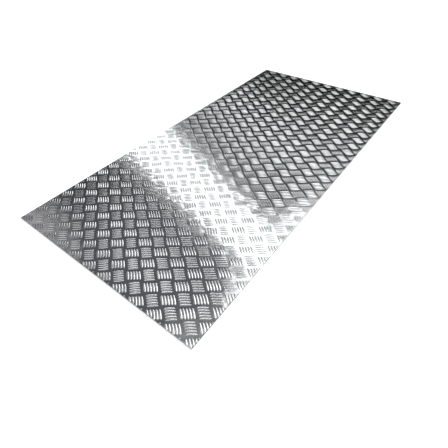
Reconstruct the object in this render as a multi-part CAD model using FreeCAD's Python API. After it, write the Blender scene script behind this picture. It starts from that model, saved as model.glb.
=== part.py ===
"""Aluminium checker plate: one rolled sheet, sheared to a rectangle, lying flat with its tread side up.

A sheet is rolled in one piece, so the part is one solid in one node, checker_plate.
The solid is the base metal of the sheet, with its deburred corners and its sheared edges.
The low raised bars of the tread are fine relief, and they aren't part of this solid.

Frame: millimetres, +Z up, +X along the length, +Y along the width.
The origin is the middle of the flat back, which lies at Z = 0.
"""
import FreeCAD, Part
import os

# Driving sizes, in millimetres.
SHEET_LENGTH = 1000.0  # along X
SHEET_WIDTH = 500.0  # along Y
BASE_THICKNESS = 1.5  # along Z, from the back to the floor between the tread's bars
CORNER_RADIUS = 0.6  # the four corners in plan, taken off with a file
TOP_EDGE_ROLL = 0.3  # rounding that the shear's blade leaves along the top edges
BACK_EDGE_BREAK = 0.15  # chamfer along the back's edges, where the burr was removed

ON_PLANE = 1e-6  # how near a plane a point counts as lying on it


def upright_edges(solid):
    """The edges that run from the back to the top."""
    return [edge for edge in solid.Edges if edge.BoundBox.ZLength > ON_PLANE]


def edges_at_height(solid, height):
    """The edges that lie in the level plane at this height."""
    level = []
    for edge in solid.Edges:
        box = edge.BoundBox
        if abs(box.ZMin - height) < ON_PLANE and abs(box.ZMax - height) < ON_PLANE:
            level.append(edge)
    return level


def make_checker_plate():
    """The base metal of the sheet, as one closed solid."""
    low_corner = FreeCAD.Vector(-SHEET_LENGTH / 2, -SHEET_WIDTH / 2, 0)
    blank = Part.makeBox(SHEET_LENGTH, SHEET_WIDTH, BASE_THICKNESS, low_corner)
    rounded = blank.makeFillet(CORNER_RADIUS, upright_edges(blank))
    rolled = rounded.makeFillet(TOP_EDGE_ROLL, edges_at_height(rounded, BASE_THICKNESS))
    return rolled.makeChamfer(BACK_EDGE_BREAK, edges_at_height(rolled, 0))


def export_node(node, shape):
    """Write one sub-part to its STEP file, and print what it is."""
    if not shape.isValid() or len(shape.Solids) != 1:
        raise ValueError(f"{node} is not one valid solid")
    solid = shape.Solids[0]
    solid.exportStep(f"parts/{node}.step")
    box = solid.optimalBoundingBox(False)
    print(f"{node}: {box.XLength:.2f} x {box.YLength:.2f} x {box.ZLength:.2f} mm, {solid.Volume:.0f} mm3")


os.makedirs("parts", exist_ok=True)
export_node("checker_plate", make_checker_plate())
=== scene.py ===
"""Aluminium checker plate: the rolled sheet with its tread of raised bars, its mill finish and its studio.

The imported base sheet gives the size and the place. The treaded sheet that stands for it is one closed
skin: a Geometry Nodes tree lays out the tread, and the skin is then sheared to the base sheet's outline.
Everything is in metres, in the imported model's frame.
"""
import math

import bmesh
import bpy
from mathutils import Matrix, Vector


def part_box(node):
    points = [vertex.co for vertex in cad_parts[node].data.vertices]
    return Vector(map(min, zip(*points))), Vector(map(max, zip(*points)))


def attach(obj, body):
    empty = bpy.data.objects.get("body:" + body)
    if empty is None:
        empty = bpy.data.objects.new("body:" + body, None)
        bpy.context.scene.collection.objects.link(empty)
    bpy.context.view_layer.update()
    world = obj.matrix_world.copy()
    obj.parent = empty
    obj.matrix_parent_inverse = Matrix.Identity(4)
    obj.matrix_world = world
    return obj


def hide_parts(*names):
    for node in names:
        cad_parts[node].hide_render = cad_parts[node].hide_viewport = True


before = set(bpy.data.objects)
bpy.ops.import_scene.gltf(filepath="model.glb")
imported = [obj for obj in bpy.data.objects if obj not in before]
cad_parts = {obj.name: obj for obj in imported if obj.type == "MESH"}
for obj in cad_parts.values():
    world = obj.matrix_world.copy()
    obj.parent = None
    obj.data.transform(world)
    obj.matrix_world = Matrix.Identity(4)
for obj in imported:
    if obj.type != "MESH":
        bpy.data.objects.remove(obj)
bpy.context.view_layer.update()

MM = 0.001

# The tread: groups of short bars, all one way in a group, and the other way in the groups beside it.
# Like groups repeat along the sheet and across it, and the other kind sits halfway between them.
TREAD = {
    "Cell Length": 34.4 * MM,
    "Cell Width": 44.0 * MM,
    "Bars": 5,
    "Bar Pitch": 5.2 * MM,
    "Bar Length": 23.0 * MM,
    "Bar Width": 4.2 * MM,
    "Bar Height": 0.595 * MM,
    "Bar Sections": 5,
    "Bar Facets": 6,
}
FIRST_GROUP = Vector((24.2 * MM, 24.0 * MM))  # middle of a falling group, from the sheet's low corner
GROUPS_ALONG = 32
GROUPS_ACROSS = 14

# How a bar narrows in plan and falls in height towards its ends: a smaller power is blunter.
PLAN_TAPER = 0.3
CROWN_TAPER = 0.45

# The sheared edge, from the tread side down to the back.
EDGE_ROLL = 0.3 * MM
BACK_BREAK = 0.15 * MM
WELD = 0.004 * MM  # points nearer than this are one point

# The metal. Roughness is a polished base, with more where the haze, the bars or the sheared sides are.
POLISH = 0.06
HAZE_ROUGHNESS = 0.08
BAR_ROUGHNESS = 0.13
SIDE_ROUGHNESS = 0.25
BAR_START = 0.05 * MM  # above the flats, where a bar's rougher finish begins
BAR_FULL = 0.35 * MM  # and where it is complete
WAVE_DEPTH = 0.32 * MM
GRAIN_DEPTH = 0.001 * MM
GRAIN_STRETCH = (60.0, 1800.0, 200.0)  # fine across the rolling direction, long along it
METAL_DULL = (0.84, 0.85, 0.86, 1.0)
METAL_BRIGHT = (0.91, 0.915, 0.915, 1.0)
# Painted shade: the sheared sides are coloured near black to stand for the shadow and gap under the sheet's
# edge.
SIDE_PAINTED_SHADE = (0.05, 0.05, 0.055, 1.0)
UPRIGHT = 0.3  # a face that points up less than this is a sheared side

# The studio.
FLOOR_RADIUS = 4.8
TENT_RADIUS = 5.0
WHITE_STARTS = 1.0  # from the middle of the floor, where its own white begins to rise
WHITE_FULL = 2.2
NEAR_WHITE = 0.6

# The camera, as a place, the point of the sheet that it looks at, its tilt and its lens.
CAMERA_PLACE = Vector((-0.6446, -0.4438, 0.5032))
CAMERA_TARGET = Vector((-0.2541, -0.1243, 0.0))
CAMERA_TILT = math.radians(2.55)
CAMERA_LENS = 27.26


class Wire:
    """A node's output. Arithmetic on it adds Math nodes to its board."""

    def __init__(self, board, socket):
        self.board = board
        self.socket = socket

    def out(self, name):
        """Another output of the same node."""
        return Wire(self.board, self.socket.node.outputs[name])

    def maths(self, operation, *values):
        return self.board.add("ShaderNodeMath", {"operation": operation}, dict(enumerate(values)))

    def __add__(self, other):
        return self.maths("ADD", self, other)

    def __radd__(self, other):
        return self.maths("ADD", other, self)

    def __sub__(self, other):
        return self.maths("SUBTRACT", self, other)

    def __rsub__(self, other):
        return self.maths("SUBTRACT", other, self)

    def __mul__(self, other):
        return self.maths("MULTIPLY", self, other)

    def __rmul__(self, other):
        return self.maths("MULTIPLY", other, self)

    def __truediv__(self, other):
        return self.maths("DIVIDE", self, other)

    def __pow__(self, other):
        return self.maths("POWER", self, other)

    def __neg__(self):
        return self.maths("MULTIPLY", self, -1.0)

    def __abs__(self):
        return self.maths("ABSOLUTE", self)

    def __lt__(self, other):
        return self.maths("LESS_THAN", self, other)

    def sine(self):
        return self.maths("SINE", self)

    def arctangent(self):
        return self.maths("ARCTANGENT", self)

    def cosine(self):
        return self.maths("COSINE", self)

    def at_least(self, other):
        return self.maths("MAXIMUM", self, other)


class Board:
    """A node tree to which nodes are added."""

    def __init__(self, tree):
        self.tree = tree

    def add(self, kind, settings=None, sockets=None):
        """Add a node, make its settings, feed its sockets, and give its first output."""
        node = self.tree.nodes.new(kind)
        for name, value in (settings or {}).items():
            if name == "stops":
                self.set_stops(node.color_ramp, value)
            else:
                setattr(node, name, value)
        for name, value in (sockets or {}).items():
            self.feed(self.find(node, name), value)
        given = [socket for socket in node.outputs if socket.enabled]
        return Wire(self, given[0]) if given else None

    def find(self, node, name):
        """The node's input of this name or number that its settings leave in use."""
        if isinstance(name, int):
            return node.inputs[name]
        return next(socket for socket in node.inputs if socket.name == name and socket.enabled)

    def feed(self, socket, value):
        """Link a wire, or each of a list of wires, or set a plain value."""
        for item in value if isinstance(value, list) else [value]:
            if isinstance(item, Wire):
                self.tree.links.new(item.socket, socket)
            else:
                socket.default_value = item

    def set_stops(self, ramp, stops):
        """Give a colour ramp its stops, each a position and a grey or a colour."""
        while len(ramp.elements) < len(stops):
            ramp.elements.new(1.0)
        for element, (position, tone) in zip(ramp.elements, stops):
            element.position = position
            element.color = (*tone, 1.0) if isinstance(tone, tuple) else (tone, tone, tone, 1.0)

    def vector(self, operation, *values):
        return self.add("ShaderNodeVectorMath", {"operation": operation}, dict(enumerate(values)))

    def combine(self, x=0.0, y=0.0, z=0.0):
        return self.add("ShaderNodeCombineXYZ", None, {0: x, 1: y, 2: z})


def new_group(name, inputs):
    """A Geometry Nodes tree with these named inputs. Gives its board and a wire for each input."""
    tree = bpy.data.node_groups.new(name, "GeometryNodeTree")
    for label, kind in inputs.items():
        tree.interface.new_socket(label, in_out="INPUT", socket_type=kind)
    tree.interface.new_socket("Geometry", in_out="OUTPUT", socket_type="NodeSocketGeometry")
    board = Board(tree)
    first = board.add("NodeGroupInput")
    return board, {label: first.out(label) for label in inputs}


def finish_group(board, geometry):
    """Give the tree its result."""
    board.add("NodeGroupOutput", None, {"Geometry": geometry})
    return board.tree


BAR_INPUTS = {
    "Bar Length": "NodeSocketFloat",
    "Bar Width": "NodeSocketFloat",
    "Bar Height": "NodeSocketFloat",
    "Bar Sections": "NodeSocketInt",
    "Bar Facets": "NodeSocketInt",
}
GROUP_INPUTS = {
    **BAR_INPUTS,
    "Bars": "NodeSocketInt",
    "Bar Pitch": "NodeSocketFloat",
    "Cell Length": "NodeSocketFloat",
    "Cell Width": "NodeSocketFloat",
    "Turn": "NodeSocketFloat",
}


def bar_tree():
    """One bar along X: a low ridge with a rounded crown, which narrows to a point at each end."""
    board, given = new_group("tread_bar", BAR_INPUTS)
    grid = board.add("GeometryNodeMeshGrid", None, {
        "Size X": 2.0, "Size Y": 2.0, "Vertices X": given["Bar Sections"], "Vertices Y": given["Bar Facets"],
    })
    place = board.add("ShaderNodeSeparateXYZ", None, {0: board.add("GeometryNodeInputPosition")})
    along = (place.out("X") * (math.pi / 2)).sine()
    across = place.out("Y")
    room = (1.0 - along * along).at_least(0.0)
    half_width = given["Bar Width"] * 0.5 * room ** PLAN_TAPER
    height = given["Bar Height"] * room ** CROWN_TAPER * (1.0 - across * across)
    shaped = board.add("GeometryNodeSetPosition", None, {
        "Geometry": grid,
        "Position": board.combine(along * given["Bar Length"] * 0.5, across * half_width, height),
    })
    pointed = board.add("GeometryNodeMergeByDistance", None, {"Geometry": shaped, "Distance": WELD})
    return finish_group(board, board.add("GeometryNodeSetShadeSmooth", None, {"Geometry": pointed}))


def group_tree(bar):
    """One diamond-shaped piece of the tread: a group of bars, turned, with the flat metal round them."""
    board, given = new_group("tread_group", GROUP_INPUTS)
    ridge = board.add("GeometryNodeGroup", {"node_tree": bar}, {name: given[name] for name in BAR_INPUTS})
    way_apart = given["Turn"] * 2.0
    lean = given["Bar Pitch"] * way_apart.cosine() / -way_apart.sine()
    half_row = (given["Bars"] - 1.0) * 0.5
    row = board.add("GeometryNodeMeshLine", {"mode": "OFFSET"}, {
        "Count": given["Bars"],
        "Start Location": board.combine(lean * -half_row, given["Bar Pitch"] * -half_row),
        "Offset": board.combine(lean, given["Bar Pitch"]),
    })
    placed = board.add("GeometryNodeInstanceOnPoints", None, {"Points": row, "Instance": ridge})
    bars = board.add("GeometryNodeTransform", None, {
        "Geometry": board.add("GeometryNodeRealizeInstances", None, {"Geometry": placed}),
        "Rotation": board.add("FunctionNodeEulerToRotation", None, {0: board.combine(z=given["Turn"])}),
    })
    one_sided = board.add("GeometryNodeInputMeshEdgeNeighbors") < 1.5
    outlines = board.add("GeometryNodeMeshToCurve", None, {"Mesh": bars, "Selection": one_sided})
    diamond = board.add("GeometryNodeCurvePrimitiveQuadrilateral", {"mode": "KITE"}, {
        "Width": given["Cell Length"],
        "Bottom Height": given["Cell Width"] * 0.5,
        "Top Height": given["Cell Width"] * 0.5,
    })
    border = board.add("GeometryNodeJoinGeometry", None, {"Geometry": [outlines, diamond]})
    flat = board.add("GeometryNodeFillCurve", {"mode": "TRIANGLES"}, {"Curve": border})
    flat = board.add("GeometryNodeSetShadeSmooth", None, {"Geometry": flat, "Shade Smooth": False})
    return finish_group(board, board.add("GeometryNodeJoinGeometry", None, {"Geometry": [bars, flat]}))


def tread_tree(group):
    """The whole tread: two lattices of groups, one kind on each, realized with their material."""
    named = {name: kind for name, kind in GROUP_INPUTS.items() if name != "Turn"}
    inputs = {
        **named,
        "Groups Along": "NodeSocketInt",
        "Groups Across": "NodeSocketInt",
        "Middle": "NodeSocketVector",
        "Material": "NodeSocketMaterial",
    }
    board, given = new_group("tread", inputs)
    slope = (given["Cell Width"] / given["Cell Length"]).arctangent()
    laid = []
    for way, shift in ((-1.0, 0.0), (1.0, 0.5)):
        piece = board.add("GeometryNodeGroup", {"node_tree": group}, {
            **{name: given[name] for name in named},
            "Turn": slope * way,
        })
        lattice = board.add("GeometryNodeMeshGrid", None, {
            "Size X": given["Cell Length"] * (given["Groups Along"] - 1.0),
            "Size Y": given["Cell Width"] * (given["Groups Across"] - 1.0),
            "Vertices X": given["Groups Along"],
            "Vertices Y": given["Groups Across"],
        })
        half_cell = board.combine(given["Cell Length"] * shift, given["Cell Width"] * shift)
        middle = board.vector("ADD", given["Middle"], half_cell)
        moved = board.add("GeometryNodeTransform", None, {"Geometry": lattice, "Translation": middle})
        laid.append(board.add("GeometryNodeInstanceOnPoints", None, {"Points": moved, "Instance": piece}))
    joined = board.add("GeometryNodeJoinGeometry", None, {"Geometry": laid})
    real = board.add("GeometryNodeRealizeInstances", None, {"Geometry": joined})
    return finish_group(board, board.add("GeometryNodeSetMaterial", None, {
        "Geometry": real, "Material": given["Material"],
    }))


def grown_mesh(name, tree, values):
    """The plain mesh that a Geometry Nodes tree makes with these inputs."""
    seed = bpy.data.objects.new(name, bpy.data.meshes.new(name + "_seed"))
    bpy.context.scene.collection.objects.link(seed)
    modifier = seed.modifiers.new(name, "NODES")
    modifier.node_group = tree
    for item in tree.interface.items_tree:
        if item.in_out == "INPUT" and item.name in values:
            modifier[item.identifier] = values[item.name]
    bpy.context.view_layer.update()
    evaluated = seed.evaluated_get(bpy.context.evaluated_depsgraph_get())
    mesh = bpy.data.meshes.new_from_object(evaluated)
    seed.modifiers.remove(modifier)
    bpy.data.objects.remove(seed)
    return mesh


def open_edges(skin):
    return [edge for edge in skin.edges if len(edge.link_faces) == 1]


def shear(skin, low, high):
    """Cut the skin's four sides off at this outline."""
    for axis in (0, 1):
        for side, limit in ((-1, low[axis]), (1, high[axis])):
            at = Vector((0.0, 0.0, 0.0))
            out = Vector((0.0, 0.0, 0.0))
            at[axis] = limit
            out[axis] = side
            bmesh.ops.bisect_plane(
                skin, geom=skin.verts[:] + skin.edges[:] + skin.faces[:],
                dist=WELD, plane_co=at, plane_no=out, clear_outer=True,
            )


def add_rim(skin, low, high):
    """Close the sheet: roll its top edge, drop its sides, break the back's edge and fill the back."""
    steps = (
        (0.25 * EDGE_ROLL, lambda z: z - 0.25 * EDGE_ROLL),
        (0.0, lambda z: z - EDGE_ROLL),
        (0.0, lambda z: low.z + BACK_BREAK),
        (BACK_BREAK, lambda z: low.z),
    )
    inset = EDGE_ROLL
    for next_inset, level in steps:
        grown = bmesh.ops.extrude_edge_only(skin, edges=open_edges(skin))["geom"]
        for vert in [item for item in grown if isinstance(item, bmesh.types.BMVert)]:
            for axis in (0, 1):
                if vert.co[axis] > high[axis] - inset - WELD:
                    vert.co[axis] = high[axis] - next_inset
                elif vert.co[axis] < low[axis] + inset + WELD:
                    vert.co[axis] = low[axis] + next_inset
            vert.co.z = level(vert.co.z)
        inset = next_inset
    bmesh.ops.contextual_create(skin, geom=open_edges(skin))


def make_treaded_sheet(low, high, material):
    """The sheet as one closed skin, with its tread standing on the base sheet's top."""
    middle = Vector((low.x, low.y)) + FIRST_GROUP
    steps_along = (GROUPS_ALONG - 1) / 2 - 1
    steps_across = (GROUPS_ACROSS - 1) / 2 - 1
    middle += Vector((steps_along * TREAD["Cell Length"], steps_across * TREAD["Cell Width"]))
    tree = tread_tree(group_tree(bar_tree()))
    mesh = grown_mesh("tread_skin", tree, {
        **TREAD,
        "Groups Along": GROUPS_ALONG,
        "Groups Across": GROUPS_ACROSS,
        "Middle": (middle.x, middle.y, high.z),
        "Material": material,
    })
    skin = bmesh.new()
    skin.from_mesh(mesh)
    bmesh.ops.remove_doubles(skin, verts=skin.verts[:], dist=WELD)
    inner = Vector((EDGE_ROLL, EDGE_ROLL, 0.0))
    shear(skin, low + inner, high - inner)
    add_rim(skin, low, high)
    bmesh.ops.recalc_face_normals(skin, faces=skin.faces[:])
    skin.to_mesh(mesh)
    skin.free()
    mesh.name = "treaded_sheet"
    sheet = bpy.data.objects.new("treaded_sheet", mesh)
    bpy.context.scene.collection.objects.link(sheet)
    return sheet


def new_material(name):
    material = bpy.data.materials.new(name)
    material.use_nodes = True
    material.node_tree.nodes.clear()
    return material, Board(material.node_tree)


def mill_aluminium(flat_level):
    """Bright rolled aluminium: slight waves in the flats, fine grain along the sheet, rougher sheared sides
    painted near black as shade.
    """
    material, board = new_material("mill_aluminium")
    spot = board.add("ShaderNodeTexCoord").out("Object")
    haze = board.add("ShaderNodeTexNoise", None, {"Vector": spot, "Scale": 14.0, "Detail": 4.0})
    waves = board.add("ShaderNodeTexNoise", None, {"Vector": spot, "Scale": 55.0, "Detail": 1.0})
    grain_space = board.vector("MULTIPLY", spot, GRAIN_STRETCH)
    grain = board.add("ShaderNodeTexNoise", None, {"Vector": grain_space, "Scale": 1.0, "Detail": 2.0})
    true_normal = board.add("ShaderNodeNewGeometry").out("True Normal")
    facing = board.add("ShaderNodeSeparateXYZ", None, {0: true_normal})
    side = abs(facing.out("Z")) < UPRIGHT
    level = board.add("ShaderNodeSeparateXYZ", None, {0: spot}).out("Z")
    crest = fade(board, level, flat_level + BAR_START, flat_level + BAR_FULL)
    tone = blend(board, haze, METAL_DULL, METAL_BRIGHT)
    # Painted shade: faces that point sideways get a near-black colour for the shadow at the sheet's edge.
    tone = blend(board, side, tone, SIDE_PAINTED_SHADE)
    bump = board.add("ShaderNodeBump", None, {
        "Strength": 1.0, "Distance": 1.0, "Height": waves * WAVE_DEPTH + grain * GRAIN_DEPTH,
    })
    roughness = POLISH + HAZE_ROUGHNESS * haze + BAR_ROUGHNESS * crest + SIDE_ROUGHNESS * side
    shader = board.add("ShaderNodeBsdfPrincipled", None, {
        "Base Color": tone, "Metallic": 1.0, "Roughness": roughness, "Normal": bump,
    })
    board.add("ShaderNodeOutputMaterial", None, {"Surface": shader})
    return material


def seen_directly(board):
    """1 for rays from the camera, from gloss and through glass."""
    path = board.add("ShaderNodeLightPath")
    seen = path.out("Is Camera Ray").at_least(path.out("Is Glossy Ray"))
    return seen.at_least(path.out("Is Transmission Ray"))


def white_world():
    world = bpy.data.worlds.new("white_room")
    bpy.context.scene.world = world
    world.use_nodes = True
    world.node_tree.nodes.clear()
    board = Board(world.node_tree)
    light = board.add("ShaderNodeBackground", None, {
        "Color": (1, 1, 1, 1), "Strength": seen_directly(board),
    })
    board.add("ShaderNodeOutputWorld", None, {"Surface": light})


def make_floor(level):
    """A pale floor, white where it is seen, that keeps a soft shadow."""
    material, board = new_material("pale_floor")
    matt = board.add("ShaderNodeBsdfDiffuse", None, {"Color": (0.85, 0.85, 0.85, 1.0)})
    spot = board.add("ShaderNodeTexCoord").out("Object")
    far_out = fade(board, board.vector("LENGTH", spot).out("Value"), WHITE_STARTS, WHITE_FULL)
    strength = seen_directly(board) * (NEAR_WHITE + (1.0 - NEAR_WHITE) * far_out)
    glow = board.add("ShaderNodeEmission", None, {"Color": (1, 1, 1, 1), "Strength": strength})
    both = board.add("ShaderNodeAddShader", None, {0: matt, 1: glow})
    board.add("ShaderNodeOutputMaterial", None, {"Surface": both})
    mesh = bpy.data.meshes.new("floor")
    skin = bmesh.new()
    bmesh.ops.create_circle(skin, cap_ends=True, segments=64, radius=FLOOR_RADIUS)
    bmesh.ops.translate(skin, vec=(0.0, 0.0, level), verts=skin.verts[:])
    skin.to_mesh(mesh)
    skin.free()
    mesh.materials.append(material)
    floor = bpy.data.objects.new("floor", mesh)
    bpy.context.scene.collection.objects.link(floor)


def make_soft_lamp():
    """A wide soft light from above the sheet's far end, which shows on matt things and not in gloss."""
    data = bpy.data.lights.new("soft_lamp", "SUN")
    data.energy = 2.6
    data.angle = math.radians(12.0)
    lamp = bpy.data.objects.new("soft_lamp", data)
    lamp.rotation_euler = heading(20.0, 27.0).to_track_quat("Z", "Y").to_euler()
    lamp.visible_glossy = False
    bpy.context.scene.collection.objects.link(lamp)


def heading(azimuth, elevation):
    """The direction at this angle from +X and this height, both in degrees."""
    turn = math.radians(azimuth)
    rise = math.radians(elevation)
    return Vector((math.cos(turn) * math.cos(rise), math.sin(turn) * math.cos(rise), math.sin(rise)))


def fade(board, value, start, end):
    """1 where the value is past the end, 0 where it is short of the start, and smooth between."""
    return board.add("ShaderNodeMapRange", {"interpolation_type": "SMOOTHSTEP"}, {
        "Value": value, "From Min": start, "From Max": end, "To Min": 0.0, "To Max": 1.0,
    })


def towards(board, way, azimuth, elevation):
    """How far this way points to that heading: the cosine of the angle between them."""
    return board.vector("DOT_PRODUCT", way, tuple(heading(azimuth, elevation))).out("Value")


def angle(degrees):
    return math.cos(math.radians(degrees))


def blend(board, factor, below, above):
    """A colour laid over another."""
    return board.add("ShaderNodeMix", {"data_type": "RGBA"}, {"Factor": factor, "A": below, "B": above})


def grey(level):
    return (level, level, level, 1.0)


# The tent's brightness by height, from level at 0 to overhead at 1.
TENT_TONES = [
    (0.0, 0.004), (0.36, 0.005), (0.47, 0.03), (0.6, (0.067, 0.071, 0.076)),
    (0.75, (0.09, 0.095, 0.105)), (0.88, (0.1, 0.103, 0.113)), (0.95, 0.37),
]
# Round cards on the tent: azimuth and height of the middle, outer and inner radius, in degrees, and tone.
CARDS = (
    (219.0, 52.0, 58.0, 36.0, grey(0.29)),
    (97.0, 36.0, 17.0, 9.0, (0.36, 0.355, 0.365, 1.0)),
    (130.0, 57.0, 20.0, 9.0, grey(0.9)),
    (-38.0, 48.0, 32.0, 16.0, grey(0.34)),
    (7.0, 58.0, 19.0, 12.0, grey(2.2)),
)
# The long strip light lies on the great circle through two headings, and fades beyond its reach.
STRIP_FAR_END = (30.0, 51.5)
STRIP_NEAR_END = (52.0, 34.0)
STRIP_MIDDLE = (15.0, 54.0)
STRIP_TONE = (2.25, 2.3, 2.3, 1.0)
HALO_TONE = (0.2, 0.215, 0.215, 1.0)


def make_tent():
    """The studio's tent: dim low down, with cards and a long strip light. The camera does not see it."""
    material, board = new_material("studio_tent")
    way = board.vector("NORMALIZE", board.add("ShaderNodeTexCoord").out("Object"))
    rise = board.add("ShaderNodeSeparateXYZ", None, {0: way}).out("Z")
    light = board.add("ShaderNodeValToRGB", {"stops": TENT_TONES}, {"Fac": rise})
    for azimuth, elevation, outer, inner, tone in CARDS:
        card = fade(board, towards(board, way, azimuth, elevation), angle(outer), angle(inner))
        light = blend(board, card, light, tone)
    pole = heading(*STRIP_FAR_END).cross(heading(*STRIP_NEAR_END)).normalized()
    off = abs(board.vector("DOT_PRODUCT", way, tuple(pole)).out("Value"))
    reach = fade(board, towards(board, way, *STRIP_MIDDLE), angle(56.0), angle(42.0))
    for outer, inner, tone in ((0.15, 0.06, HALO_TONE), (0.1, 0.045, STRIP_TONE)):
        light = blend(board, fade(board, off, outer, inner) * reach, light, tone)
    glow = board.add("ShaderNodeEmission", None, {"Color": light, "Strength": 1.0})
    board.add("ShaderNodeOutputMaterial", None, {"Surface": glow})
    mesh = bpy.data.meshes.new("tent")
    skin = bmesh.new()
    bmesh.ops.create_uvsphere(skin, u_segments=48, v_segments=24, radius=TENT_RADIUS)
    bmesh.ops.reverse_faces(skin, faces=skin.faces[:])
    skin.to_mesh(mesh)
    skin.free()
    mesh.materials.append(material)
    tent = bpy.data.objects.new("tent", mesh)
    bpy.context.scene.collection.objects.link(tent)
    tent.visible_camera = False
    tent.visible_shadow = False


def set_camera():
    look = (CAMERA_TARGET - CAMERA_PLACE).normalized()
    lens = bpy.data.cameras.new("camera")
    lens.lens = CAMERA_LENS
    lens.sensor_width = 36.0
    camera = bpy.data.objects.new("camera", lens)
    bpy.context.scene.collection.objects.link(camera)
    turn = look.to_track_quat("-Z", "Y").to_matrix() @ Matrix.Rotation(-CAMERA_TILT, 3, "Z")
    camera.matrix_world = Matrix.Translation(CAMERA_PLACE) @ turn.to_4x4()
    bpy.context.scene.camera = camera


bpy.context.scene.view_settings.view_transform = "Standard"
set_camera()
white_world()
sheet_low, sheet_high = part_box("checker_plate")
make_floor(sheet_low.z)
make_tent()
make_soft_lamp()

sheet = make_treaded_sheet(sheet_low, sheet_high, mill_aluminium(sheet_high.z))
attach(sheet, "root")
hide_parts("checker_plate")
